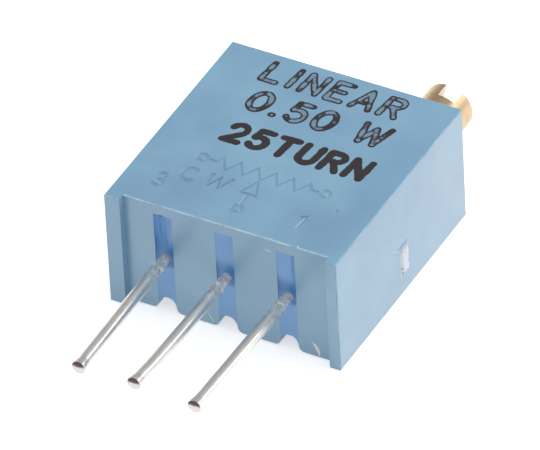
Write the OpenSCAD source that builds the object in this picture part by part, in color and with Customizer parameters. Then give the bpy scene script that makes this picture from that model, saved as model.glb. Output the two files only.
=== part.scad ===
// Multi-turn trimmer potentiometer with a worm drive, three in-line pins and a screw at its top end.
// X runs along the pin row, Y from the board to the screw, Z out of the printed face.
// The origin is on the middle pin's axis, in the plane of the board that the standoffs sit on.

/* [Case] */
// Width of the case along the pin row
case_w = 9.6; // [9.4:0.1:11]
// Height of the case over the board, with its standoffs
case_h = 10; // [9.8:0.1:12]
// Thickness of the case from its potted back to its printed face
case_t = 5; // [4.9:0.1:6]
// Radius on the outer edges of the case
case_edge_r = 0.05; // [0.03:0.01:0.2]
// Thickness of the two side walls
side_wall = 0.7; // [0.6:0.05:0.9]
// Thickness of the wall at the screw end
end_wall = 0.7; // [0.5:0.05:1]
// Thickness of the wall that the pins leave through
pin_wall = 0.9; // [0.7:0.05:1.1]
// Thickness of the roof behind the printed face
roof_t = 0.85; // [0.75:0.05:0.95]
// Height of the standoff strips over the pin face
standoff_h = 0.3; // [0.2:0.05:0.5]
// Width of the standoff strip at the side of pin 3
standoff_3_w = 0.65; // [0.4:0.05:1]
// Width of the standoff strip at the side of pin 1
standoff_1_w = 0.45; // [0.4:0.05:1]

/* [Pin slots and seal] */
// Width of each pin slot
slot_w = 0.76; // [0.6:0.02:1]
// Distance from the printed face to the top of each slot
slot_top_gap = 0.45; // [0.3:0.05:0.8]
// Depth of the blind groove that continues each slot above its pin
slot_groove_d = 0.5; // [0.3:0.05:0.6]
// Radius of the rounded corners where each slot opens to the back
slot_mouth_r = 0.24; // [0.1:0.02:0.3]
// Distance by which the wall between the standoffs stops short of the back
pin_rim_gap = 0.08; // [0.05:0.01:0.25]
// Depth of the seal's surface below the rim of the back
seal_recess = 0.65; // [0.6:0.05:0.9]
// Setback of the seal from the pin face
seal_setback = 0.05; // [0.02:0.01:0.15]
// Depth of the hollow that the seal draws round each pin
seal_hollow_d = 0.25; // [0.1:0.05:0.3]
// Length of that hollow along the slot
seal_hollow_l = 1.7; // [1:0.1:2]

/* [Pins] */
// Distance between neighbouring pins
pin_pitch = 2.54; // [2.4:0.02:2.6]
// Diameter of a pin with its tin coat
pin_d = 0.48; // [0.4:0.02:0.6]
// Diameter of the bare wire at the root
pin_root_d = 0.4; // [0.3:0.02:0.46]
// Length of a pin below the board plane
pin_reach = 6.5; // [3:0.1:12]
// Distance from the board plane to the full thickness of the tin coat
pin_coat_start = 0.25; // [0.2:0.05:0.6]
// Diameter of the sheared, slightly upset tip
pin_tip_d = 0.58; // [0.5:0.02:0.7]
// Length of the upset stretch at the tip
pin_tip_l = 0.35; // [0.2:0.05:0.6]
// Thickness of the flattened foot inside the case
foot_t = 0.3; // [0.2:0.02:0.36]
// Width of the flattened foot
foot_w = 0.56; // [0.45:0.02:0.7]
// Length of the flattened foot
foot_l = 0.85; // [0.7:0.05:1]

/* [Element] */
// Thickness of the alumina substrate
substrate_t = 0.6; // [0.4:0.05:0.8]
// Gap between the substrate's edges and the case
substrate_gap = 0.05; // [0.02:0.01:0.1]
// Thickness of the printed films
film_t = 0.04; // [0.03:0.01:0.06]
// Mean radius of the resistive track
track_r = 2.3; // [2.1:0.05:2.45]
// Width of the resistive track
track_w = 0.7; // [0.5:0.05:0.8]
// Arc of the resistive track in degrees
track_arc = 270; // [250:1:276]
// Arc of each end electrode in degrees
electrode_arc = 16; // [12:1:18]
// Width of the film strips that lead to the pins
lead_film_w = 0.6; // [0.4:0.05:0.7]
// Side of the square solder pads
pad_w = 1.1; // [1:0.05:1.2]
// Outer radius of the collector film
collector_r = 1.25; // [1.1:0.05:1.35]
// Radius of a solder joint on its pad
solder_r = 0.5; // [0.44:0.02:0.55]
// Height of a solder joint over its pad
solder_h = 0.42; // [0.36:0.02:0.45]

/* [Drive] */
// Turns of the screw from one end of the track to the other
screw_turns = 25; // [20:1:25]
// Teeth on the rotor
wheel_teeth = 32; // [31:1:33]
// Pressure angle of the teeth in degrees
pressure_angle = 20; // [14:1:25]
// Play between a tooth and its gap at the pitch line
backlash = 0.06; // [0.04:0.01:0.1]
// Module of the worm and the rotor's teeth
tooth_module = 0.18; // [0.175:0.001:0.185]
// Width of the rotor's toothed rim
wheel_face = 0.9; // [0.7:0.05:1]
// Distance of the rotor's centre from the middle of the well, towards the screw's head
rotor_offset = 0.25; // [0.1:0.05:0.3]
// Pitch radius of the worm
worm_r = 0.55; // [0.5:0.01:0.58]
// Gap between the rotor and the roof
rotor_gap = 0.1; // [0.05:0.01:0.2]
// Gap between the rotor's teeth and the wall of its pocket
rotor_side_gap = 0.14; // [0.1:0.02:0.3]
// Diameter of the pivot post that the rotor turns on
post_d = 1.1; // [0.9:0.05:1.2]
// Running clearance of round fits on the radius
running_gap = 0.03; // [0.02:0.005:0.05]

/* [Screw] */
// Diameter of the screw's head
head_d = 1.95; // [1.7:0.05:2]
// Height of the head over the case
head_h = 1.65; // [1.2:0.05:1.8]
// Chamfer on the edge of the head
head_chamfer = 0.12; // [0.05:0.01:0.2]
// Width of the driver slot
driver_slot_w = 0.7; // [0.4:0.02:0.8]
// Depth of the driver slot
driver_slot_d = 0.8; // [0.5:0.02:0.9]
// Direction of the driver slot, in degrees from X towards Z
driver_slot_angle = 74; // [0:1:180]
// Diameter of the journal in the case
journal_d = 1.5; // [1.48:0.01:1.54]
// Diameter of the neck that the clip holds
neck_d = 0.8; // [0.7:0.02:0.9]
// Length of the flange under the clip
flange_l = 0.2; // [0.15:0.05:0.3]
// Length of the tail journal beyond the thread
tail_l = 1; // [0.8:0.05:1.1]
// Depth of the O-ring's middle below the end of the case
ring_depth = 0.8; // [0.6:0.05:0.9]
// Diameter of the O-ring's section
ring_section = 0.28; // [0.2:0.01:0.3]
// Depth of the retaining clip below the end of the case
clip_depth = 1.9; // [1.7:0.05:2]
// Thickness of the retaining clip
clip_t = 0.28; // [0.2:0.01:0.3]
// Width of the retaining clip
clip_w = 1.7; // [1.5:0.05:1.8]

/* [Wiper and stop] */
// Thickness of the wiper's sheet
wiper_t = 0.07; // [0.05:0.01:0.1]
// Number of fingers on the track
wiper_fingers = 5; // [3:1:6]
// Width of a finger
finger_w = 0.14; // [0.1:0.01:0.16]
// Gap between neighbouring fingers
finger_gap = 0.05; // [0.03:0.01:0.08]
// Radius of the rounded contact at a finger's end
contact_r = 0.08; // [0.06:0.01:0.1]
// Gap between the contacts and the films
contact_gap = 0.02; // [0.01:0.005:0.03]
// Width of the ring that carries the fingers
wiper_ring_w = 0.65; // [0.5:0.05:0.7]
// Diameter of the pegs that hold the wiper
peg_d = 0.24; // [0.2:0.02:0.3]
// Mean radius of the stop lug on the rotor
lug_r = 1.5; // [1.3:0.05:1.8]
// Width of the stop lug
lug_w = 0.6; // [0.4:0.05:0.7]
// Height of the stop lug on the rotor
lug_h = 0.3; // [0.2:0.05:0.35]
// Arc of the stop lug in degrees
lug_arc = 20; // [16:1:24]
// Turn of the rotor past the end of the track before it stops, in degrees
stop_margin = 2; // [1:0.5:4]

/* [Hidden] */
$fn = 64;
eps = 0.05;

// Small gaps round the inner pieces
slot_end_gap = 0.12;
pocket_gap = 0.2;
foot_gap = 0.05;
tail_gap = 0.1;
worm_end_gap = 0.25;
ring_side_gap = 0.06;
stop_gap = 0.1;
post_overhang = 0.2;
wiper_post_gap = 0.2;

// Depth of the tooth gaps below the pitch line, in modules
wheel_dedendum = 1.25;
worm_dedendum = 1.2;

// Levels of the case, with the pin row halfway between the back and the printed face
back_z = -case_t / 2;
face_z = case_t / 2;
rim_z = back_z + pin_rim_gap;
roof_z = face_z - roof_t;
well_w = case_w - 2 * side_wall;
well_y0 = standoff_h + pin_wall;
well_y1 = case_h - end_wall;
well_h = well_y1 - well_y0;
seal_z = back_z + seal_recess;
slot_top_z = face_z - slot_top_gap;
slot_end_z = pin_d / 2 + slot_end_gap;

// Levels of the element
film_top = -foot_t / 2;
substrate_top = film_top - film_t;
substrate_z = substrate_top - substrate_t;

// Pins
pin_x = [pin_pitch, 0, -pin_pitch];
foot_y0 = well_y0 + substrate_gap + foot_gap;
foot_y1 = foot_y0 + foot_l;
pad_y = foot_y0 + solder_r;
solder_ball_r = (solder_r * solder_r + solder_h * solder_h) / (2 * solder_h);
pin_pocket_w = 2 * pin_pitch + pad_w + 2 * pocket_gap;
pin_pocket_h = pad_y + pad_w / 2 + pocket_gap - well_y0;
pin_pocket_z = film_top + solder_h + pocket_gap;

// Worm and wheel
wheel_r = wheel_teeth * tooth_module / 2;
wheel_tip_r = wheel_r + tooth_module;
wheel_root_r = wheel_r - wheel_dedendum * tooth_module;
wheel_base_r = wheel_r * cos(pressure_angle);
wheel_y = (well_y0 + well_y1) / 2 + rotor_offset;
wheel_z = roof_z - rotor_gap - wheel_face / 2;
wheel_bottom = wheel_z - wheel_face / 2;
wheel_top = wheel_z + wheel_face / 2;
pocket_r = wheel_tip_r + rotor_side_gap;
worm_pitch = PI * tooth_module;
worm_lead_angle = atan(worm_pitch / (2 * PI * worm_r));
worm_tip_r = worm_r + tooth_module;
worm_core_r = worm_r - worm_dedendum * tooth_module;
tooth_s = worm_pitch / 2 - backlash / 2;
rotor_travel = screw_turns * 360 / wheel_teeth;

// Screw, set out from its clip. Its thread has as many turns as fit below the flange, a whole number of them
// on each side of the rotor's centre, so that it meets the teeth there.
screw_x = wheel_r + worm_r;
clip_y = case_h - clip_depth;
flange_y1 = clip_y - running_gap;
flange_y0 = flange_y1 - flange_l;
worm_turns = 2 * floor((flange_y0 - wheel_y) / worm_pitch);
worm_y0 = wheel_y - worm_turns / 2 * worm_pitch;
tail_y = worm_y0 - tail_l;
neck_y1 = clip_y + clip_t + running_gap;
ring_y = case_h - ring_depth;
journal_r = journal_d / 2;
bore_r = journal_r + running_gap;
ring_seat_r = bore_r - running_gap / 2 - ring_section;
ring_seat_w = ring_section + 2 * ring_side_gap;
tail_chamber_y = worm_y0 - worm_end_gap;
head_y1 = case_h + head_h;

// Stop
lug_r0 = lug_r - lug_w / 2;
lug_r1 = lug_r + lug_w / 2;
stop_arc = 360 - rotor_travel - lug_arc - 2 * stop_margin;

// Wiper
wiper_ring_r0 = post_d / 2 + wiper_post_gap;
wiper_ring_r1 = wiper_ring_r0 + wiper_ring_w;
peg_r = (wiper_ring_r0 + wiper_ring_r1) / 2;
wiper_z = wheel_bottom - wiper_t;
contact_z = film_top + contact_gap + contact_r;

// Turns a shape that is drawn along Z so that it runs along Y, from the height y upwards.
module along_y(x, y, z) {
  translate([x, y, z]) rotate([-90, 0, 0]) children();
}

// Square with round corners, made of squares and circles.
module round_square(w, h, r) {
  translate([r, 0]) square([w - 2 * r, h]);
  translate([0, r]) square([w, h - 2 * r]);
  for (x = [r, w - r], y = [r, h - r]) translate([x, y]) circle(r);
}

// Sector of a ring about the middle of an arc, drawn flat.
module ring_sector(r0, r1, middle, arc) {
  far = 3 * r1;
  steps = 8;
  turns = [for (i = [0:steps]) middle - arc / 2 + i * arc / steps];
  intersection() {
    difference() {
      circle(r1);
      circle(r0);
    }
    polygon(concat([[0, 0]], [for (a = turns) far * [cos(a), sin(a)]]));
  }
}

// Case

module case_block() {
  intersection() {
    translate([-case_w / 2, 0, back_z]) linear_extrude(case_t) round_square(case_w, case_h, case_edge_r);
    translate([-case_w / 2, case_h, back_z]) rotate([90, 0, 0])
      linear_extrude(case_h) round_square(case_w, case_t, case_edge_r);
    translate([-case_w / 2, 0, back_z]) rotate([90, 0, 90])
      linear_extrude(case_w) round_square(case_h, case_t, case_edge_r);
  }
}

module pin_face_recess() {
  recess_w = case_w - standoff_3_w - standoff_1_w;
  translate([standoff_3_w - case_w / 2, -eps, back_z - eps]) {
    cube([recess_w, standoff_h + eps, case_t + 2 * eps]);
    cube([recess_w, well_y0 + 2 * eps, pin_rim_gap + eps]);
  }
}

// Opening that flares out from the slot's width to the rim.
module slot_mouth(x) {
  reach = slot_w / 2 + slot_mouth_r;
  translate([x, well_y0 + eps, rim_z]) rotate([90, 0, 0]) linear_extrude(pin_wall + 2 * eps) difference() {
    translate([-reach, -eps]) square([2 * reach, slot_mouth_r + eps]);
    for (side = [-1, 1]) translate([side * reach, slot_mouth_r]) circle(slot_mouth_r);
  }
}

module pin_slot(x) {
  translate([x - slot_w / 2, standoff_h - eps, back_z - eps])
    cube([slot_w, pin_wall + 2 * eps, slot_end_z - back_z + eps]);
  translate([x - slot_w / 2, standoff_h - eps, back_z - eps])
    cube([slot_w, slot_groove_d + eps, slot_top_z - back_z + eps]);
  slot_mouth(x);
}

module screw_bore() {
  along_y(screw_x, tail_chamber_y, wheel_z) cylinder(r = bore_r, h = case_h - tail_chamber_y + eps);
  along_y(screw_x, tail_y - tail_gap, wheel_z) cylinder(r = worm_core_r + running_gap, h = tail_l);
}

module clip_pocket() {
  pocket_l = clip_t + 2 * running_gap;
  pocket_top = wheel_z + clip_w / 2;
  translate([screw_x - clip_w / 2, clip_y - running_gap, substrate_top - eps])
    cube([clip_w, pocket_l, pocket_top - substrate_top + eps]);
}

// Room over the solder joints, and over the films that run from them to the rotor.
module pin_pocket() {
  film_room_z = film_top + pocket_gap;
  translate([-pin_pocket_w / 2, well_y0, substrate_top - eps]) {
    cube([pin_pocket_w, pin_pocket_h, pin_pocket_z - substrate_top + eps]);
    cube([pin_pocket_w, wheel_y - well_y0, film_room_z - substrate_top + eps]);
  }
}

module stop_groove() {
  translate([0, wheel_y, roof_z - eps])
    linear_extrude(lug_h + eps) ring_sector(lug_r0 - stop_gap, lug_r1 + stop_gap, 90, 360 - stop_arc);
}

module case() {
  color("#7FA8C6") {
    difference() {
      case_block();
      pin_face_recess();
      translate([-well_w / 2, well_y0, back_z - eps]) cube([well_w, well_h, substrate_top - back_z + eps]);
      translate([0, wheel_y, substrate_top - eps]) cylinder(r = pocket_r, h = roof_z - substrate_top + eps);
      pin_pocket();
      screw_bore();
      clip_pocket();
      stop_groove();
      for (x = pin_x) pin_slot(x);
    }
    translate([0, wheel_y, wheel_bottom - post_overhang])
      cylinder(d = post_d, h = roof_z - wheel_bottom + post_overhang + eps);
  }
}

// Potting

module seal_finger(x) {
  y0 = standoff_h + seal_setback;
  translate([x - slot_w / 2, y0, seal_z]) cube([slot_w, well_y0 - y0, slot_end_z - seal_z]);
  translate([x - slot_w / 2, y0, seal_z])
    cube([slot_w, standoff_h + slot_groove_d - y0, slot_top_z - seal_z]);
}

// Shallow hollow across a finger, deepest just above the pin.
module seal_hollow(x) {
  r = (pow(seal_hollow_l / 2, 2) + pow(seal_hollow_d, 2)) / (2 * seal_hollow_d);
  y = standoff_h + seal_setback + seal_hollow_d - r;
  translate([x - slot_w / 2 - eps, y, pin_d]) rotate([0, 90, 0]) cylinder(r = r, h = slot_w + 2 * eps);
}

module epoxy_seal() {
  color("#6B93C8") difference() {
    union() {
      translate([-well_w / 2, well_y0, seal_z]) cube([well_w, well_h, substrate_z - seal_z]);
      for (x = pin_x) seal_finger(x);
    }
    for (x = pin_x) {
      seal_hollow(x);
      along_y(x, 0, 0) cylinder(d = pin_root_d, h = well_y0 + eps);
    }
  }
}

// Pins and solder

module pin_foot(x) {
  translate([x, 0, film_top]) linear_extrude(foot_t) {
    translate([-foot_w / 2, foot_y0]) square([foot_w, foot_l - foot_w / 2]);
    translate([0, foot_y1 - foot_w / 2]) circle(d = foot_w);
  }
}

module pin(x) {
  color("#C9CACB") {
    along_y(x, pin_tip_l - pin_reach, 0) cylinder(d = pin_d, h = pin_reach - pin_tip_l - pin_coat_start);
    along_y(x, -pin_reach, 0) cylinder(d1 = pin_tip_d, d2 = pin_d, h = pin_tip_l);
    along_y(x, -pin_coat_start, 0) cylinder(d1 = pin_d, d2 = pin_root_d, h = pin_coat_start + standoff_h);
    along_y(x, standoff_h, 0) cylinder(d = pin_root_d, h = foot_y0 - standoff_h);
    pin_foot(x);
  }
}

module pin_1() {
  pin(pin_x[0]);
}

module pin_2() {
  pin(pin_x[1]);
}

module pin_3() {
  pin(pin_x[2]);
}

module solder_joint(x) {
  color("#B4B6B8") difference() {
    translate([x, pad_y, film_top + solder_h - solder_ball_r]) sphere(solder_ball_r);
    translate([x - pad_w, pad_y - pad_w, film_top - 2 * solder_ball_r])
      cube([2 * pad_w, 2 * pad_w, 2 * solder_ball_r]);
    pin_foot(x);
  }
}

module solder_joint_1() {
  solder_joint(pin_x[0]);
}

module solder_joint_2() {
  solder_joint(pin_x[1]);
}

module solder_joint_3() {
  solder_joint(pin_x[2]);
}

// Element

module substrate() {
  color("#ECE9E0")
    translate([substrate_gap - well_w / 2, well_y0 + substrate_gap, substrate_z])
      cube([well_w - 2 * substrate_gap, well_h - 2 * substrate_gap, substrate_t]);
}

module film() {
  translate([0, 0, substrate_top]) linear_extrude(film_t) children();
}

module pad(x) {
  translate([x - pad_w / 2, pad_y - pad_w / 2]) square(pad_w);
}

module resistive_track() {
  color("#2B2724") film()
    translate([0, wheel_y]) ring_sector(track_r - track_w / 2, track_r + track_w / 2, 90, track_arc);
}

module collector() {
  color("#B9BBB6") film() {
    translate([0, wheel_y]) circle(collector_r);
    translate([-lead_film_w / 2, pad_y]) square([lead_film_w, wheel_y - pad_y]);
    pad(0);
  }
}

// The strip runs from the middle of the electrode straight down to the pad.
module end_electrode(side) {
  middle = 90 - side * (track_arc + electrode_arc) / 2;
  strip_x = track_r * cos(middle);
  strip_y = wheel_y + track_r * sin(middle);
  x = side * pin_pitch;
  color("#B9BBB6") {
    film() translate([0, wheel_y])
      ring_sector(track_r - track_w / 2, track_r + track_w / 2, middle, electrode_arc);
    film() polygon([
      [strip_x - lead_film_w / 4, strip_y],
      [strip_x + lead_film_w / 4, strip_y],
      [x + lead_film_w / 2, pad_y],
      [x - lead_film_w / 2, pad_y]
    ]);
    film() pad(x);
  }
}

module end_electrode_1() {
  end_electrode(1);
}

module end_electrode_3() {
  end_electrode(-1);
}

// Screw

// Half section of the turned blank, from the tail to the head.
function blank_profile() = [
  [0, tail_y],
  [worm_core_r, tail_y],
  [worm_core_r, flange_y0],
  [journal_r, flange_y0],
  [journal_r, flange_y1],
  [neck_d / 2, flange_y1],
  [neck_d / 2, neck_y1],
  [journal_r, neck_y1],
  [journal_r, ring_y - ring_seat_w / 2],
  [ring_seat_r, ring_y - ring_seat_w / 2],
  [ring_seat_r, ring_y + ring_seat_w / 2],
  [journal_r, ring_y + ring_seat_w / 2],
  [journal_r, case_h + running_gap],
  [head_d / 2 - head_chamfer / 2, case_h + running_gap],
  [head_d / 2, case_h + running_gap + head_chamfer / 2],
  [head_d / 2, head_y1 - head_chamfer],
  [head_d / 2 - head_chamfer, head_y1],
  [0, head_y1]
];

// Right-hand thread, swept as one ring of points for each step and run out into the core at both ends.
module worm_thread() {
  steps_per_turn = 24;
  steps = worm_turns * steps_per_turn;
  sink = 0.06;
  slope = tan(pressure_angle);
  function crest(i) =
    let (rise = min(1, 2 * min(i, steps - i) / steps_per_turn))
    worm_core_r - sink / 2 + (worm_tip_r - worm_core_r + sink / 2) * rise;
  function half_width(r) = tooth_s / 2 - (r - worm_r) * slope;
  function point(i, r, side) =
    let (a = 360 * i / steps_per_turn)
    [r * cos(a), r * sin(a), worm_y0 + worm_pitch * i / steps_per_turn + side * half_width(r)];
  points = [
    for (i = [0:steps]) each [
      point(i, worm_core_r - sink, -1),
      point(i, crest(i), -1),
      point(i, crest(i), 1),
      point(i, worm_core_r - sink, 1)
    ]
  ];
  sides = [
    for (i = [0:steps - 1], k = [0:3])
      let (a = 4 * i + k, b = 4 * i + (k + 1) % 4)
      each [[a, b, b + 4], [a, b + 4, a + 4]]
  ];
  last = 4 * steps;
  ends = [[3, 2, 1, 0], [last, last + 1, last + 2, last + 3]];
  polyhedron(points, concat(sides, ends));
}

module adjustment_screw() {
  color("#D9BE86") difference() {
    along_y(screw_x, 0, wheel_z) {
      rotate_extrude() polygon(blank_profile());
      worm_thread();
    }
    along_y(screw_x, head_y1 - driver_slot_d, wheel_z)
      rotate(-driver_slot_angle) translate([-head_d, -driver_slot_w / 2, 0])
        cube([2 * head_d, driver_slot_w, driver_slot_d + eps]);
  }
}

module o_ring() {
  color("#2A2A2C") along_y(screw_x, ring_y, wheel_z)
    rotate_extrude() translate([ring_seat_r + ring_section / 2, 0]) circle(d = ring_section);
}

// U-shaped plate that slides over the neck from the back.
module retaining_clip() {
  slit = neck_d + 2 * running_gap;
  leg_end = wheel_z + clip_w / 2 - running_gap;
  color("#BFC3C6") difference() {
    translate([screw_x - clip_w / 2, clip_y, wheel_z - clip_w / 2])
      cube([clip_w, clip_t, leg_end - wheel_z + clip_w / 2]);
    along_y(screw_x, clip_y - eps, wheel_z) cylinder(d = slit, h = clip_t + 2 * eps);
    translate([screw_x - slit / 2, clip_y - eps, wheel_z]) cube([slit, clip_t + 2 * eps, clip_w]);
  }
}

// Rotor

// Half thickness of an involute tooth at the radius r.
function involute(a) = tan(a) * 180 / PI - a;
function tooth_half(r) =
  let (a = acos(min(1, wheel_base_r / r)))
  r * (tooth_s / (2 * wheel_r) + (involute(pressure_angle) - involute(a)) * PI / 180);

module wheel_tooth() {
  steps = 4;
  radii = [for (i = [0:steps]) wheel_base_r + (wheel_tip_r + eps - wheel_base_r) * i / steps];
  flank = concat([[wheel_root_r - 2 * eps, tooth_half(wheel_base_r)]], [for (r = radii) [r, tooth_half(r)]]);
  other = [for (i = [len(flank) - 1:-1:0]) [flank[i].x, -flank[i].y]];
  rotate([-worm_lead_angle, 0, 0])
    linear_extrude(2 * wheel_face, center = true) polygon(concat(flank, other));
}

module stake_pegs(d, h) {
  for (side = [-1, 1])
    translate([side * peg_r, wheel_y, wheel_bottom - h]) cylinder(d = d, h = h + eps);
}

module rotor() {
  color("#E6E0CF") {
    difference() {
      union() {
        intersection() {
          translate([0, wheel_y, wheel_z]) union() {
            cylinder(r = wheel_root_r, h = wheel_face, center = true);
            for (i = [0:wheel_teeth - 1]) rotate(i * 360 / wheel_teeth) wheel_tooth();
          }
          translate([0, wheel_y, wheel_bottom]) cylinder(r = wheel_tip_r, h = wheel_face);
        }
        translate([0, wheel_y, wheel_top - eps])
          linear_extrude(lug_h - eps / 2) ring_sector(lug_r0, lug_r1, 90, lug_arc);
      }
      translate([0, wheel_y, wheel_bottom - eps])
        cylinder(d = post_d + 2 * running_gap, h = wheel_face + 2 * eps);
    }
    stake_pegs(peg_d, 2 * wiper_t);
  }
}

// Wiper

// Finger that runs out from the ring and down to the track, drawn in the plane of its radius and Z.
module track_finger() {
  knee = wiper_ring_r1 + wiper_t;
  polygon([
    [peg_r, wheel_bottom],
    [peg_r, wiper_z],
    [knee - wiper_t, wiper_z],
    [track_r - wiper_t, contact_z],
    [track_r, contact_z],
    [knee, wheel_bottom]
  ]);
  translate([track_r, contact_z]) circle(contact_r);
}

// Finger that folds back under the ring and down to the collector.
module collector_finger() {
  fold_r = wiper_ring_r1 + 2 * wiper_t;
  fold_z = wiper_z - 2 * wiper_t;
  end_r = wiper_ring_r0 + contact_r;
  polygon([
    [peg_r, wiper_z],
    [peg_r, wheel_bottom],
    [fold_r, wheel_bottom],
    [fold_r, fold_z],
    [end_r + wiper_t, contact_z],
    [end_r, contact_z],
    [fold_r - wiper_t, fold_z],
    [fold_r - wiper_t, wiper_z]
  ]);
  translate([end_r, contact_z]) circle(contact_r);
}

// Row of fingers side by side, pointing in the given direction from the rotor's centre.
module finger_row(direction) {
  step = finger_w + finger_gap;
  translate([0, wheel_y, 0]) rotate(direction)
    for (i = [0:wiper_fingers - 1])
      translate([0, (i - (wiper_fingers - 1) / 2) * step, 0])
        rotate([90, 0, 0]) linear_extrude(finger_w, center = true) children();
}

module wiper() {
  color("#CFC6A4") difference() {
    union() {
      translate([0, wheel_y, wiper_z]) linear_extrude(wiper_t) difference() {
        circle(wiper_ring_r1);
        circle(wiper_ring_r0);
      }
      finger_row(90) track_finger();
      finger_row(-90) collector_finger();
    }
    stake_pegs(peg_d + running_gap, wiper_t + eps);
  }
}

case();
epoxy_seal();
adjustment_screw();
o_ring();
retaining_clip();
rotor();
wiper();
substrate();
resistive_track();
collector();
end_electrode_1();
end_electrode_3();
pin_1();
pin_2();
pin_3();
solder_joint_1();
solder_joint_2();
solder_joint_3();
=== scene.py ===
import math

import bmesh
import bpy
from mathutils import Matrix, Vector, noise


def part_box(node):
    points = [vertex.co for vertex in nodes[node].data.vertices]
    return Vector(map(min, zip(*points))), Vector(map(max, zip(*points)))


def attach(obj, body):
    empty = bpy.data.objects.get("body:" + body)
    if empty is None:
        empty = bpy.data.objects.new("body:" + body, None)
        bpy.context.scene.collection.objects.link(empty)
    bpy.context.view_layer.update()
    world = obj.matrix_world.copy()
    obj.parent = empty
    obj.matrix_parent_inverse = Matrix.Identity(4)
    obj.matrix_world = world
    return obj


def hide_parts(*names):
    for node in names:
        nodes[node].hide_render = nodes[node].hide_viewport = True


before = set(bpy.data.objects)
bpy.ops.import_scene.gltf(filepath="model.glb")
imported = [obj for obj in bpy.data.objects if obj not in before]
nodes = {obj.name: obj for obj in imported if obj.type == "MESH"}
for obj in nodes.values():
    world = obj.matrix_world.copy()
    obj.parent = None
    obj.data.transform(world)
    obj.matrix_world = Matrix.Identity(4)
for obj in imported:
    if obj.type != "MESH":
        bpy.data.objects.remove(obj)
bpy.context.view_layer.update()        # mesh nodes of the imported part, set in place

# Case
# One box moulded from blue glass-filled thermoset, open at the back, which everything else is put into.
# The mould leaves the resistor symbol, pin numbers and turning mark sunk in the printed face. Handling has
# scratched the side a little.
mm = 0.001
face_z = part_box("case")[1].z
side_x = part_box("case")[1].x
pin_face_y = 0.3 * mm
pin_x = 2.54 * mm

mark_r = 0.15 * mm                                # round bottom of the symbol's sunk lines
letter_r = 0.2 * mm                               # and of the letters'
mark_depth = 0.045 * mm
mark_end = 0.07 * mm                              # over which a line runs out
zigzag_y = (3.14 * mm, 3.45 * mm, 3.77 * mm)      # valleys, leads and peaks
zigzag_step = 0.36 * mm
ring_r = 0.19 * mm
arrow_y = (1.36 * mm, 2.27 * mm, 3.1 * mm)        # terminal ring, barbs and point
arrow_half = 0.33 * mm
letter_h = 0.72 * mm
pit_ends = ((3.36 * mm, 2.78 * mm), (3.4 * mm, 2.8 * mm))
pit_r = 0.11 * mm
scratches = (((4.08, 0.2), (4.78, -0.3)), ((3.9, 0.07), (4.66, -0.48)), ((3.09, 0.9), (3.14, 0.85)))   # y, z
scratch_r = 0.03 * mm
scratch_out = 0.018 * mm                          # from the side to the middle of the scratching point
pale_edge_reach = 0.045 * mm                            # from an edge to where the paler edge faces stop
sunk_shade_depth = 0.003 * mm                          # below the face, where the painted shade in a mark starts


def linear(hex_colour):
    """An sRGB hex colour as the linear RGBA that shaders take."""
    parts = [int(hex_colour[i:i + 2], 16) / 255 for i in (1, 3, 5)]
    return tuple(p / 12.92 if p <= 0.04045 else ((p + 0.055) / 1.055) ** 2.4 for p in parts) + (1.0,)


def add(tree, kind, settings):
    """Adds one node. A setting is a property of it, a value for an input, or a socket to link there."""
    made = tree.nodes.new(kind)
    for name, value in settings.items():
        if isinstance(value, bpy.types.NodeSocket):
            tree.links.new(value, made.inputs[name])
        elif isinstance(name, str) and hasattr(made, name):
            setattr(made, name, value)
        else:
            made.inputs[name].default_value = value
    return made


def empty_material(name):
    """A new material of that name and its node tree, with no nodes yet."""
    made = bpy.data.materials.new(name)
    made.use_nodes = True
    made.node_tree.nodes.clear()
    return made, made.node_tree


def take_up(*pieces):
    """Makes these pieces the only ones selected, and the first of them the active one."""
    bpy.ops.object.select_all(action="DESELECT")
    for piece in pieces:
        piece.select_set(True)
    bpy.context.view_layer.objects.active = pieces[0]


def merged_copy(node, name):
    """A new piece from a CAD node's mesh, its loose triangles merged and turned back into whole faces."""
    piece = bpy.data.objects.new(name, nodes[node].data.copy())
    bpy.context.scene.collection.objects.link(piece)
    take_up(piece)
    bpy.ops.mesh.customdata_custom_splitnormals_clear()
    bpy.ops.object.mode_set(mode="EDIT")
    bpy.ops.mesh.select_all(action="SELECT")
    bpy.ops.mesh.remove_doubles(threshold=0.001 * mm)
    bpy.ops.mesh.dissolve_limited(angle_limit=math.radians(0.5))
    bpy.ops.object.mode_set(mode="OBJECT")
    return piece


def rod(points, radius, swell=None):
    """A round rod through points. swell gives a factor on its radius at each point."""
    path = bpy.data.curves.new("rod", "CURVE")
    path.dimensions = "3D"
    path.bevel_depth = radius
    path.bevel_resolution = 3
    path.use_fill_caps = True
    run = path.splines.new("POLY")
    run.points.add(len(points) - 1)
    for k, place in enumerate(points):
        run.points[k].co = (*place, 1)
        run.points[k].radius = swell[k] if swell else 1
    made = bpy.data.objects.new("rod", path)
    bpy.context.scene.collection.objects.link(made)
    take_up(made)
    bpy.ops.object.convert(target="MESH")
    return bpy.context.object


def arc(x, y, rx, ry, start, end, steps=12):
    """Points along an ellipse from one angle to another, in degrees."""
    turns = [math.radians(start + (end - start) * k / steps) for k in range(steps + 1)]
    return [(x + rx * math.cos(a), y + ry * math.sin(a)) for a in turns]


def cut_away(piece, *cutters):
    """Takes the shape of the cutters out of the piece."""
    take_up(*cutters)
    bpy.ops.object.join()
    take_up(piece)
    cut = piece.modifiers.new("cut", "BOOLEAN")
    cut.operation = "DIFFERENCE"
    cut.solver = "EXACT"
    cut.use_self = True
    cut.object = cutters[0]
    bpy.ops.object.modifier_apply(modifier=cut.name)
    bpy.data.objects.remove(cutters[0])


case = merged_copy("case", "moulded_case")

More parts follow.
